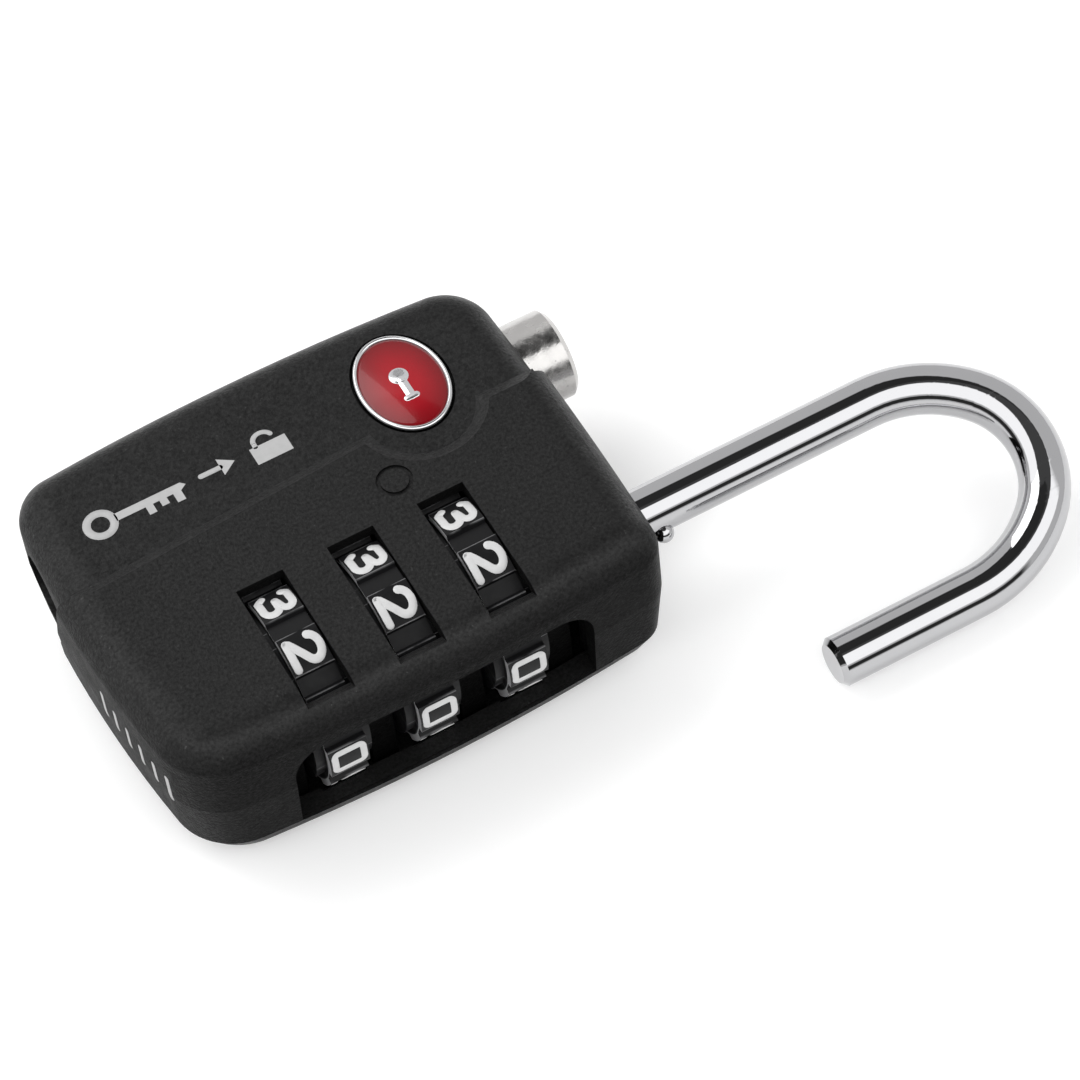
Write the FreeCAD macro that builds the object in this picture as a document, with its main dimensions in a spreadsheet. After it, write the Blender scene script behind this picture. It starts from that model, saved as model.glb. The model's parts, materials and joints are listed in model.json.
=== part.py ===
import FreeCAD, Part
import math
import os

import Sketcher

# A small three-dial travel padlock with a key override, lying on its back, open.
# Row frame in millimetres: origin on the flat back under the middle of the case, +X the way
# the shackle points, +Y towards the key cylinder, +Z out of the front face.

V = FreeCAD.Vector
DOC = FreeCAD.newDocument("padlock")
SHEET = DOC.addObject("Spreadsheet::Sheet", "sizes")

SIZES = (
    # case
    ("case_left", 15.35, "end of the case by the keyhole, from the origin"),
    ("case_right", 15.3, "end of the case by the shackle"),
    ("end_step", 0.4, "how far the key strip's ends lie inside those of the dial field"),
    ("case_near", 12.05, "long side by the dials, from the origin"),
    ("case_far", 11.8, "long side by the key"),
    ("side_bow", 0.8, "how far the long sides bow out"),
    ("in_near_left", 1.15, "how far the end draws in towards this corner"),
    ("in_near_right", 0.2, "how far the end draws in towards this corner"),
    ("in_far_right", 0.35, "how far the end draws in towards this corner"),
    ("in_far_left", 0.35, "how far the end draws in towards this corner"),
    ("case_height", 12.1, "back face to the raised front face"),
    ("corner_near_left", 3.8, "radius of the upright corner by the dials, keyhole end"),
    ("corner_near_right", 1.7, "radius of the upright corner by the dials, shackle end"),
    ("corner_far_right", 3.2, "radius of the upright corner by the barrel"),
    ("corner_far_left", 2.6, "radius of the upright corner by the keyhole"),
    ("top_round", 2.2, "radius of the front edges"),
    ("back_round", 2.3, "radius of the back edges"),
    ("back_draw", 1.3, "how far the walls draw in at the back face"),
    ("line_draw", 0.3, "how far the walls draw in at the joint"),
    ("part_line", 2.5, "height of the joint between shell and cover"),
    ("joint_gap", 0.02, "gap between shell and cover"),
    ("groove_height", 0.1, "height of the groove round the cover's rim"),
    ("groove_depth", 0.25, "depth of that groove"),
    ("wall", 1.1, "thickness of the side walls"),
    ("roof", 1.0, "thickness of the front wall"),
    ("floor", 1.0, "thickness of the back cover"),
    ("step_depth", 0.45, "how far the key strip lies below the dial field"),
    ("boss_radius", 0.6, "posts that hold the case pins"),
    ("pin_radius", 0.32, "case pins"),
    # axes
    ("axis_height", 6.4, "height of the shackle and key axes"),
    ("leg_side", -5.9, "where the long leg runs across the case"),
    ("leg_gap", 12.5, "distance between the two legs of the shackle"),
    # dials
    ("dial_pitch", 5.56, "distance from dial to dial"),
    ("dial_mid", 0.375, "middle of the middle dial"),
    ("dial_radius", 5.78, "radius over the digits"),
    ("dial_band", 2.35, "width of the digit band"),
    ("hub_radius", 5.0, "radius of the bare metal flanges"),
    ("hub_width", 3.4, "width over the flanges"),
    ("dial_bore", 2.97, "bore that runs on the clutch sleeve"),
    ("lug_room", 3.5, "radius of the room the clutch lug turns in"),
    ("well_radius", 6.0, "room in the case for a digit band"),
    ("well_start", -1.45, "where that room begins, from the dial's middle"),
    ("well_length", 2.72, "length of that room"),
    ("hub_well_radius", 5.2, "room in the case for a dial's flanges"),
    ("hub_well_length", 3.6, "length of that room"),
    # clutch sleeves
    ("clutch_mid", 0.57, "middle of the middle clutch sleeve"),
    ("sleeve_radius", 2.9, "outside of a sleeve"),
    ("sleeve_length", 5.46, "length of a sleeve"),
    ("chamber_radius", 2.3, "room in which a shackle nub can turn"),
    ("chamber_length", 3.15, "length of that room"),
    ("leg_bore", 1.58, "bore that runs on the shackle leg"),
    # shackle
    ("rod_radius", 1.5, "half the shackle's wire"),
    ("leg_end", -1.45, "inner end of the long leg, shackle open"),
    ("bend_start", 30.85, "where the legs end and the bend begins"),
    ("bend_depth", 7.5, "how far the bend's middle line reaches beyond the legs"),
    ("bend_nose", 5.4, "radius of the bend's outermost arc"),
    ("toe_end", 21.65, "end of the short leg"),
    ("nub_first", 0.2, "innermost nub, shackle open"),
    ("nub_offset", 1.53, "nub's centre from the leg's axis"),
    ("nub_radius", 0.6, "radius of a nub"),
    ("swivel", -159.4, "which way the short leg points, from +Y towards +Z"),
    # key side
    ("keyhole_radius", 2.6, "hole in the case in front of the plug"),
    ("plug_radius", 2.2, "key plug"),
    ("plug_bore", 2.26, "bore of the key cylinder"),
    ("cylinder_radius", 2.85, "outside of the key cylinder"),
    ("cylinder_start", -12.4, "end of the key cylinder by the keyhole"),
    ("tail_radius", 1.2, "tail of the plug"),
    ("barrel_radius", 2.7, "locking barrel that takes the short leg"),
    ("barrel_bore", 2.77, "bore that the barrel slides in"),
    ("barrel_end", 17.85, "outer end of the barrel"),
    ("toe_bore", 1.62, "hole in the barrel for the short leg"),
    ("barrel_travel", 3.0, "how far a quarter turn of the key pulls the barrel in"),
    # badge
    ("badge_along", 7.7, "middle of the badge along the case"),
    ("badge_across", 5.55, "middle of the badge across the case"),
    ("badge_long", 3.55, "half the badge's length"),
    ("badge_short", 2.65, "half the badge's width"),
)


def fill_sheet():
    """Write each size, its name and its meaning into the spreadsheet."""
    for row, (alias, number, meaning) in enumerate(SIZES, start=1):
        SHEET.set("A%d" % row, alias)
        SHEET.set("B%d" % row, str(number))
        SHEET.setAlias("B%d" % row, alias)
        SHEET.set("C%d" % row, meaning)
    DOC.recompute()


def cell(alias):
    """The number in the cell with this alias."""
    return float(SHEET.get(alias))


# ---------------------------------------------------------------- helpers

def new_body(label):
    """A PartDesign body whose label is its node's name."""
    body = DOC.addObject("PartDesign::Body", label)
    body.Label = label
    return body


def place(body, along="0", across="0", up="0"):
    """Bind a body's position to the sheet."""
    body.setExpression("Placement.Base.x", along)
    body.setExpression("Placement.Base.y", across)
    body.setExpression("Placement.Base.z", up)


def new_sketch(body, role, offset="0"):
    """A sketch on one of the body's own origin planes, moved along its normal."""
    sketch = body.newObject("Sketcher::SketchObject", "sketch")
    support = [item for item in body.Origin.OriginFeatures if item.Role == role][0]
    sketch.AttachmentSupport = (support, [""])
    sketch.MapMode = "FlatFace"
    sketch.setExpression("AttachmentOffset.Base.z", offset)
    return sketch


def circle(sketch, radius, centre=(0.0, 0.0)):
    """A circle whose radius is bound to the sheet."""
    index = sketch.addGeometry(Part.Circle(V(centre[0], centre[1], 0), V(0, 0, 1), 1.0), False)
    if centre == (0.0, 0.0):
        sketch.addConstraint(Sketcher.Constraint("Coincident", index, 3, -1, 1))
    else:
        sketch.addConstraint(Sketcher.Constraint("DistanceX", -1, 1, index, 3, centre[0]))
        sketch.addConstraint(Sketcher.Constraint("DistanceY", -1, 1, index, 3, centre[1]))
    rule = sketch.addConstraint(Sketcher.Constraint("Radius", index, 1.0))
    sketch.setExpression("Constraints[%d]" % rule, radius)


def outline(sketch, points):
    """A closed outline of straight lines through points."""
    corners = [V(x, y, 0) for x, y in points]
    for start, end in zip(corners, corners[1:] + corners[:1]):
        sketch.addGeometry(Part.LineSegment(start, end), False)


def rectangle(sketch, low_x, low_y, high_x, high_y):
    """A rectangle between two corners."""
    outline(sketch, ((low_x, low_y), (high_x, low_y), (high_x, high_y), (low_x, high_y)))


def rounded_bar(sketch, low_x, low_y, high_x, high_y, radius):
    """A rectangle with round corners, as four lines and four arcs."""
    centres = ((high_x - radius, high_y - radius, 0), (low_x + radius, high_y - radius, 90),
               (low_x + radius, low_y + radius, 180), (high_x - radius, low_y + radius, 270))
    ends = []
    for x, y, start in centres:
        angles = [math.radians(start + turn) for turn in (0, 45, 90)]
        points = [V(x + radius * math.cos(a), y + radius * math.sin(a), 0) for a in angles]
        sketch.addGeometry(Part.Arc(*points), False)
        ends.append((points[0], points[2]))
    for here, following in zip(ends, ends[1:] + ends[:1]):
        sketch.addGeometry(Part.LineSegment(here[1], following[0]), False)


def ellipse(sketch, half_x, half_y, centre=(0.0, 0.0)):
    """An ellipse that is longer along the sketch's second axis."""
    x, y = centre
    shape = Part.Ellipse(V(x, y + half_y, 0), V(x + half_x, y, 0), V(x, y, 0))
    sketch.addGeometry(shape, False)


def pad(body, sketch, length):
    """Add material from the sketch along its normal."""
    feature = body.newObject("PartDesign::Pad", "pad")
    feature.Profile = sketch
    feature.setExpression("Length", length)
    return feature


def pocket(body, sketch, length):
    """Cut from the sketch along its normal."""
    feature = body.newObject("PartDesign::Pocket", "pocket")
    feature.Profile = sketch
    feature.Reversed = True
    feature.setExpression("Length", length)
    return feature


def repeat(body, feature, axis_role, length, count):
    """Copy a feature in a row along an origin axis."""
    row = body.newObject("PartDesign::LinearPattern", "row")
    row.Originals = [feature]
    row.Direction = ([item for item in body.Origin.OriginFeatures if item.Role == axis_role][0], [""])
    row.setExpression("Length", length)
    row.Occurrences = count
    body.Tip = row
    return row


def turn_pattern(body, feature, count):
    """Copy a feature round the body's X axis."""
    ring = body.newObject("PartDesign::PolarPattern", "ring")
    ring.Originals = [feature]
    ring.Axis = ([item for item in body.Origin.OriginFeatures if item.Role == "X_Axis"][0], [""])
    ring.Angle = 360.0
    ring.Occurrences = count
    body.Tip = ring
    return ring


def edges_where(shape, test):
    """Names of the edges whose end points all pass a test."""
    names = []
    for number, edge in enumerate(shape.Edges, start=1):
        if edge.Vertexes and all(test(vertex.Point) for vertex in edge.Vertexes):
            names.append("Edge%d" % number)
    return names


def chamfer(body, base, names, size):
    """Bevel the named edges of the last feature."""
    feature = body.newObject("PartDesign::Chamfer", "chamfer")
    feature.Base = (base, names)
    feature.setExpression("Size", size)
    DOC.recompute()
    return feature


def turned_body(label, steps, along="0", across="0", up="0"):
    """A body of discs and rings along X. A step is (kind, radius, start, length)."""
    body = new_body(label)
    place(body, along, across, up)
    for kind, radius, start, length in steps:
        sketch = new_sketch(body, "YZ_Plane", start)
        circle(sketch, radius)
        if kind == "add":
            pad(body, sketch, length)
        else:
            pocket(body, sketch, length)
    return body


def coil(label, wire, radius, pitch, length, along, across, up):
    """A compression spring along X from along to along + length, with open ends."""
    turns = length - 2 * wire
    helix = Part.makeHelix(pitch, turns, radius)
    profile = Part.Wire([Part.makeCircle(wire, V(radius, 0, 0), V(0, 1, 0))])
    spring = DOC.addObject("Part::Feature", label)
    spring.Label = label
    spring.Shape = Part.Wire(helix.Edges).makePipeShell([profile], True, True)
    spring.Placement = FreeCAD.Placement(V(along + wire, across, up),
                                         FreeCAD.Rotation(V(0, 1, 0), 90))
    return spring


# ---------------------------------------------------------------- case

def case_outline(inset, end_inset, height):
    """The case seen from the front, at one height: four bowed sides and four round corners."""
    left, right = cell("case_left") - end_inset, cell("case_right") - end_inset
    near, far = cell("case_near") - inset, cell("case_far") - inset
    corners = []
    for name, end, side in (("near_left", -left, -near), ("near_right", right, -near),
                            ("far_right", right, far), ("far_left", -left, far)):
        x = math.copysign(abs(end) - cell("in_" + name), end)
        y = math.copysign(abs(side) - cell("side_bow") * (x / right) ** 2, side)
        corners.append(V(x, y, height))
    middles = (V(0, -near, height), V(right, 0, height), V(0, far, height), V(-left, 0, height))
    sides = [Part.Arc(start, middle, end).toShape()
             for start, middle, end in zip(corners, middles, corners[1:] + corners[:1])]
    plate = Part.Face(Part.Wire(sides)).extrude(V(0, 0, 1))
    for corner, name in zip(corners, ("near_left", "near_right", "far_right", "far_left")):
        upright = [edge for edge in plate.Edges
                   if all(math.hypot(v.X - corner.x, v.Y - corner.y) < 0.01 for v in edge.Vertexes)]
        plate = plate.makeFillet(cell("corner_" + name), upright)
    low = [face for face in plate.Faces if all(abs(v.Z - height) < 0.01 for v in face.Vertexes)]
    return low[0].OuterWire


def rounded_case(inset, end_inset, high):
    """The case's outer shape: upright above the axes, drawn in below them, edges rounded."""
    levels = ((0.0, cell("back_draw")), (cell("part_line"), cell("line_draw")),
              (cell("axis_height"), 0.0), (high, 0.0))
    rings = [case_outline(inset + draw, end_inset + draw, height) for height, draw in levels]
    block = Part.makeLoft(rings, True, True).Solids[0]
    front = [edge for edge in block.Edges if all(v.Z > high - 0.01 for v in edge.Vertexes)]
    block = block.makeFillet(cell("top_round"), front)
    back = [edge for edge in block.Edges if all(v.Z < 0.01 for v in edge.Vertexes)]
    return block.makeFillet(cell("back_round"), back).Solids[0]


def dial_field(shift, height):
    """Outline of the raised dial field, which gives way to the badge in an arc."""
    far = 20.0
    left_y, meet_y, right_y = 1.2 + shift, 2.6 + shift, 1.8 + shift
    centre_x, centre_y, radius = cell("badge_along"), 3.6, 4.0 - shift
    meet_x = centre_x - math.sqrt(radius ** 2 - (centre_y - meet_y) ** 2)
    leave_x = centre_x + math.sqrt(radius ** 2 - (centre_y - right_y) ** 2)
    corners = ((-far, left_y), (-far, -far), (far, -far), (far, right_y), (leave_x, right_y))
    points = [V(x, y, height) for x, y in corners]
    meet = V(meet_x, meet_y, height)
    edges = [Part.LineSegment(a, b).toShape() for a, b in zip(points, points[1:])]
    edges.append(Part.Arc(points[-1], V(centre_x, centre_y - radius, height), meet).toShape())
    edges.append(Part.LineSegment(meet, points[0]).toShape())
    return Part.Wire(edges)


def end_field(reach, height):
    """Outline of the part of the end wall that stands proud, at one height."""
    far = 20.0
    points = ((-far, -far), (far, -far), (far, reach), (-far, reach), (-far, -far))
    return Part.makePolygon([V(x, y, height) for x, y in points])


def case_blank():
    """The case before it is hollowed: a low key strip and a raised dial field."""
    height, step = cell("case_height"), cell("step_depth")
    strip_height = height - step
    bevel, over = 0.8, 0.3
    top = Part.makeLoft([dial_field(bevel, strip_height),
                         dial_field(-bevel * over / step, height + over)], True, True)
    sides = Part.makeLoft([end_field(6.2, -over), end_field(2.4, strip_height)], True, True)
    hair = 0.02
    raised = rounded_case(0, 0, height)
    low = rounded_case(hair, cell("end_step"), strip_height)
    field = raised.common(top).fuse(raised.common(sides))
    blank = DOC.addObject("Part::Feature", "case_blank")
    blank.Shape = low.fuse(field).removeSplitter()
    return blank


def cut_box(body, role, offset, length, corners):
    """Cut a rectangle between two corners of a plane's sketch."""
    sketch = new_sketch(body, role, offset)
    rectangle(sketch, *corners)
    return pocket(body, sketch, length)


def trace_case(sketch, inset):
    """Draw the case's outline, drawn in by inset, into a sketch."""
    for edge in case_outline(inset, inset + cell("end_step"), 0.0).Edges:
        middle = edge.valueAt((edge.FirstParameter + edge.LastParameter) / 2)
        sketch.addGeometry(Part.Arc(edge.firstVertex().Point, middle, edge.lastVertex().Point), False)


def hollow(body, low, length, inset):
    """Cut the inside of the case from a height upwards."""
    sketch = new_sketch(body, "XY_Plane", low)
    trace_case(sketch, inset)
    return pocket(body, sketch, length)


def joint_groove(body):
    """A shallow groove round the cover's rim, which shows as the line between the halves."""
    sketch = new_sketch(body, "XY_Plane", "sizes.part_line - sizes.joint_gap - sizes.groove_height")
    rectangle(sketch, -20, -20, 20, 20)
    trace_case(sketch, cell("line_draw") + cell("groove_depth"))
    return pocket(body, sketch, "1")


BOSSES = ((-10.2, -9.25), (10.9, -9.2), (-5.0, 2.5), (13.05, -0.4))


def boss_posts(body, low, length):
    """The posts that take the case pins."""
    sketch = new_sketch(body, "XY_Plane", low)
    for place_at in BOSSES:
        circle(sketch, "sizes.boss_radius", place_at)
    pad(body, sketch, length)


def boss_holes(body, low, length):
    """Holes for the case pins."""
    sketch = new_sketch(body, "XY_Plane", low)
    for place_at in BOSSES:
        circle(sketch, "sizes.pin_radius", place_at)
    pocket(body, sketch, length)


def dial_well(body, radius, start, length):
    """A round hole across the case in each dial's place. start is from the dial's middle."""
    sketch = new_sketch(body, "YZ_Plane", "sizes.dial_mid - sizes.dial_pitch + (%s)" % start)
    circle(sketch, radius, (cell("leg_side"), cell("axis_height")))
    well = pocket(body, sketch, length)
    repeat(body, well, "X_Axis", "2 * sizes.dial_pitch", 3)


def windows(body):
    """Three windows over the digits, each with a sloped lip for the finger."""
    half_width, near, far, offset = 1.42, -10.35, -2.5, 0.125
    middle = cell("dial_mid") - offset - cell("dial_pitch")
    window = cut_box(body, "XY_Plane", "sizes.case_height - 2", "3",
                     (middle - half_width, near, middle + half_width, far))
    repeat(body, window, "X_Axis", "2 * sizes.dial_pitch", 3)
    top, lip, drop = cell("case_height") + 0.5, 0.95, 1.5
    sketch = new_sketch(body, "YZ_Plane", "sizes.dial_mid - 0.125 - sizes.dial_pitch - 1.42")
    outline(sketch, ((near - lip, top), (near - lip, top - 0.75), (near + 0.1, top - drop),
                     (near + 0.1, top)))
    ramp = pocket(body, sketch, "2.84")
    repeat(body, ramp, "X_Axis", "2 * sizes.dial_pitch", 3)


def front_shell(blank):
    """The front half of the case."""
    body = new_body("front_shell")
    body.BaseFeature = blank
    cut_box(body, "XY_Plane", "-1", "sizes.part_line + 1", (-20, -20, 20, 20))
    hollow(body, "sizes.part_line", "sizes.case_height - sizes.roof - sizes.part_line", cell("wall"))
    boss_posts(body, "sizes.part_line", "sizes.case_height - sizes.part_line - 0.8")
    boss_holes(body, "sizes.part_line - 0.1", "4")
    dial_well(body, "sizes.well_radius", "sizes.well_start", "sizes.well_length")
    dial_well(body, "sizes.hub_well_radius", "-sizes.hub_well_length / 2", "sizes.hub_well_length")
    windows(body)
    slot = new_sketch(body, "XZ_Plane", "sizes.case_near - 1.6")
    rounded_bar(slot, -8.45, 0.3, 10.05, 9.2, 2.2)
    pocket(body, slot, "3")
    keyhole = new_sketch(body, "YZ_Plane", "-sizes.case_left - 0.5")
    circle(keyhole, "sizes.keyhole_radius", (cell("leg_side") + cell("leg_gap"), cell("axis_height")))
    pocket(body, keyhole, "3.6")
    leg_hole = new_sketch(body, "YZ_Plane", "sizes.case_right - 2.5")
    circle(leg_hole, "sizes.chamber_radius", (cell("leg_side"), cell("axis_height")))
    pocket(body, leg_hole, "3")
    barrel_hole = new_sketch(body, "YZ_Plane", "sizes.case_right - 3")
    circle(barrel_hole, "sizes.barrel_bore", (cell("leg_side") + cell("leg_gap"), cell("axis_height")))
    pocket(body, barrel_hole, "4")
    recess = new_sketch(body, "XY_Plane", "sizes.case_height - sizes.step_depth - 0.45")
    ellipse(recess, cell("badge_short") + 0.12, cell("badge_long") + 0.12,
            (cell("badge_along"), cell("badge_across")))
    pocket(body, recess, "2")
    mark = new_sketch(body, "XY_Plane", "sizes.case_height - 0.14")
    for radius in ("1.05", "0.8"):
        circle(mark, radius, (4.1, -0.45))
    pocket(body, mark, "1")
    return body


def back_cover(blank):
    """The shallow cover that closes the case from behind."""
    body = new_body("back_cover")
    body.BaseFeature = blank
    cut_box(body, "XY_Plane", "sizes.part_line - sizes.joint_gap", "sizes.case_height", (-20, -20, 20, 20))
    hollow(body, "sizes.floor", "sizes.part_line", cell("wall") + 0.6)
    joint_groove(body)
    boss_posts(body, "sizes.floor - 0.1", "sizes.part_line - sizes.floor + 0.05")
    boss_holes(body, "sizes.floor", "2")
    dial_well(body, "sizes.well_radius", "sizes.well_start", "sizes.well_length")
    return body


def case_pins():
    """Four pins pressed through the posts of shell and cover."""
    body = new_body("case_pins")
    sketch = new_sketch(body, "XY_Plane", "sizes.floor + 0.1")
    for place_at in BOSSES:
        circle(sketch, "sizes.pin_radius - 0.02", place_at)
    pad(body, sketch, "4.6")


# ---------------------------------------------------------------- badge

def badge_part(label, short, long, bottom, height):
    """An upright oval of the badge."""
    body = new_body(label)
    place(body, "sizes.badge_along", "sizes.badge_across", bottom)
    sketch = new_sketch(body, "XY_Plane")
    ellipse(sketch, short, long)
    pad(body, sketch, height)
    return body


def badge():
    """A round-topped red badge in a bright rim, with a small keyhole on it."""
    short, long, rim = cell("badge_short"), cell("badge_long"), 0.32
    seat = "sizes.case_height - sizes.step_depth - 0.44"
    bezel = badge_part("badge_rim", short, long, seat, "0.62")
    inner = new_sketch(bezel, "XY_Plane", "0.15")
    ellipse(inner, short - rim, long - rim)
    pocket(bezel, inner, "1")
    dome = badge_part("badge_enamel", short - rim - 0.02, long - rim - 0.02, seat + " + 0.16", "0.42")
    keyhole = new_body("badge_keyhole")
    place(keyhole, "sizes.badge_along", "sizes.badge_across", seat + " + 0.59")
    sketch = new_sketch(keyhole, "XY_Plane")
    ring, half_neck, half_foot, foot = 0.62, 0.22, 0.45, -1.15
    neck_y = -math.sqrt(ring ** 2 - half_neck ** 2)
    sketch.addGeometry(Part.Arc(V(half_neck, neck_y, 0), V(0, ring, 0), V(-half_neck, neck_y, 0)), False)
    corners = (V(-half_neck, neck_y, 0), V(-half_foot, foot, 0), V(half_foot, foot, 0),
               V(half_neck, neck_y, 0))
    for start, end in zip(corners, corners[1:]):
        sketch.addGeometry(Part.LineSegment(start, end), False)
    pad(keyhole, sketch, "0.1")
    return dome


# ---------------------------------------------------------------- dials

def dial(number):
    """One dial: a digit band on a metal wheel, with ten notches for the clutch lugs."""
    body = turned_body("dial_%d" % number, (
        ("add", "sizes.hub_radius", "-sizes.hub_width / 2", "sizes.hub_width"),
        ("add", "sizes.dial_radius", "-sizes.dial_band / 2", "sizes.dial_band"),
        ("cut", "sizes.dial_bore", "-sizes.hub_width / 2 - 1", "sizes.hub_width + 2"),
        ("cut", "sizes.lug_room", "-sizes.hub_width / 2 - 1", "sizes.hub_width / 2 + 1.1")),
        "sizes.dial_mid + (%d) * sizes.dial_pitch" % (number - 2), "sizes.leg_side", "sizes.axis_height")
    notch = new_sketch(body, "YZ_Plane", "0.05")
    rectangle(notch, -0.5, 2.5, 0.5, 3.45)
    turn_pattern(body, pocket(body, notch, "2"), 10)
    groove = new_sketch(body, "YZ_Plane", "-2")
    angle = math.radians(18)
    radius, depth, half = cell("dial_radius"), 0.34, 0.5
    out, side = V(-math.cos(angle), math.sin(angle), 0), V(math.sin(angle), math.cos(angle), 0)
    corners = ((radius + 0.3, half * 1.6), (radius + 0.3, -half * 1.6),
               (radius - depth, -half), (radius - depth, half))
    outline(groove, [(out * reach + side * across)[:2] for reach, across in corners])
    turn_pattern(body, pocket(body, groove, "4"), 10)
    return body


def clutch_sleeve(number):
    """A sleeve that lets the shackle's nubs through only at one angle."""
    body = turned_body("clutch_sleeve_%d" % number, (
        ("add", "sizes.sleeve_radius", "-sizes.sleeve_length / 2", "sizes.sleeve_length"),
        ("cut", "sizes.leg_bore", "-4", "8"),
        ("cut", "sizes.chamber_radius", "-sizes.sleeve_length / 2 - 1", "sizes.chamber_length + 1")),
        "sizes.clutch_mid + (%d) * sizes.dial_pitch" % (number - 2), "sizes.leg_side", "sizes.axis_height")
    keyway(body, "-4", "8", (-169.7,))
    lug = new_sketch(body, "YZ_Plane", "0.15")
    rectangle(lug, -0.42, 2.6, 0.42, 3.38)
    return turn_pattern(body, pad(body, lug, "0.85"), 5)


def keyway(body, start, length, centres):
    """Slots beside a bore, wide enough for a nub, each centred on an angle."""
    inner, outer, half = cell("leg_bore") - 0.3, cell("chamber_radius"), math.radians(35)
    for centre in centres:
        sketch = new_sketch(body, "YZ_Plane", start)
        middle = math.radians(centre)
        rays = [V(math.cos(middle + turn), math.sin(middle + turn), 0) for turn in (-half, 0, half)]
        sketch.addGeometry(Part.Arc(rays[0] * inner, rays[1] * inner, rays[2] * inner), False)
        sketch.addGeometry(Part.LineSegment(rays[2] * inner, rays[2] * outer), False)
        sketch.addGeometry(Part.Arc(rays[2] * outer, rays[1] * outer, rays[0] * outer), False)
        sketch.addGeometry(Part.LineSegment(rays[0] * outer, rays[0] * inner), False)
        pocket(body, sketch, length)


def dial_frame():
    """The chassis: a rail with four ribs that carry the sleeves, and a spring plate."""
    body = new_body("dial_frame")
    low, height, rail_near, rail_far, tip = "1.3", "9.6", 0.38, 1.55, -9.7
    sketch = new_sketch(body, "XY_Plane", low)
    rectangle(sketch, -12.6, rail_near, 12.2, rail_far)
    pad(body, sketch, height)
    first = cell("dial_mid") - 1.5 * cell("dial_pitch")
    rib_sketch = new_sketch(body, "XY_Plane", low)
    rectangle(rib_sketch, first - 0.75, tip, first + 0.75, rail_near + 0.2)
    rib = pad(body, rib_sketch, height)
    repeat(body, rib, "X_Axis", "3 * sizes.dial_pitch", 4)
    plate = new_sketch(body, "XY_Plane", low)
    rectangle(plate, -12.1, -7.95, -11.4, rail_near + 0.2)
    pad(body, plate, height)
    bore = new_sketch(body, "YZ_Plane", "-11")
    circle(bore, "sizes.sleeve_radius + 0.07", (cell("leg_side"), cell("axis_height")))
    pocket(body, bore, "24")
    cut_box(body, "XZ_Plane", "-0.38", "0.5", (-6.1, 1.7, 6.85, 3.5))
    rivet_holes = new_sketch(body, "XZ_Plane", "-0.95")
    for side in (-0.5, 0.5):
        circle(rivet_holes, "0.34", (cell("dial_mid") + side * cell("dial_pitch"), 2.6))
    pocket(body, rivet_holes, "0.8")
    spring_hole = new_sketch(body, "YZ_Plane", "-13")
    circle(spring_hole, "sizes.leg_bore", (cell("leg_side"), cell("axis_height")))
    pocket(body, spring_hole, "2")
    return body


def detent_spring():
    """A leaf with three fingers that face the dials."""
    body = new_body("detent_spring")
    sketch = new_sketch(body, "XZ_Plane", "-0.37")
    pitch, middle, half, low, waist, high = cell("dial_pitch"), cell("dial_mid"), 0.8, 1.8, 3.4, 9.8
    points = [(middle - pitch - half, low), (middle + pitch + half, low)]
    for step in (1, 0, -1):
        centre = middle + step * pitch
        points += [(centre + half, waist if step < 1 else high)]
        points += [(centre + half, high)] if step < 1 else []
        points += [(centre - half, high)]
        points += [(centre - half, waist)] if step > -1 else []
    outline(sketch, points)
    pad(body, sketch, "0.2")
    holes = new_sketch(body, "XZ_Plane", "-0.4")
    for side in (-0.5, 0.5):
        circle(holes, "0.35", (middle + side * pitch, 2.6))
    pocket(body, holes, "0.5")
    rivets = new_body("detent_rivets")
    for start, length, radius in (("-0.9", "0.73", "0.33"), ("-0.17", "0.22", "0.6")):
        sketch = new_sketch(rivets, "XZ_Plane", start)
        for side in (-0.5, 0.5):
            circle(sketch, radius, (middle + side * pitch, 2.6))
        pad(rivets, sketch, length)
    return body


# ---------------------------------------------------------------- shackle

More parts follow.
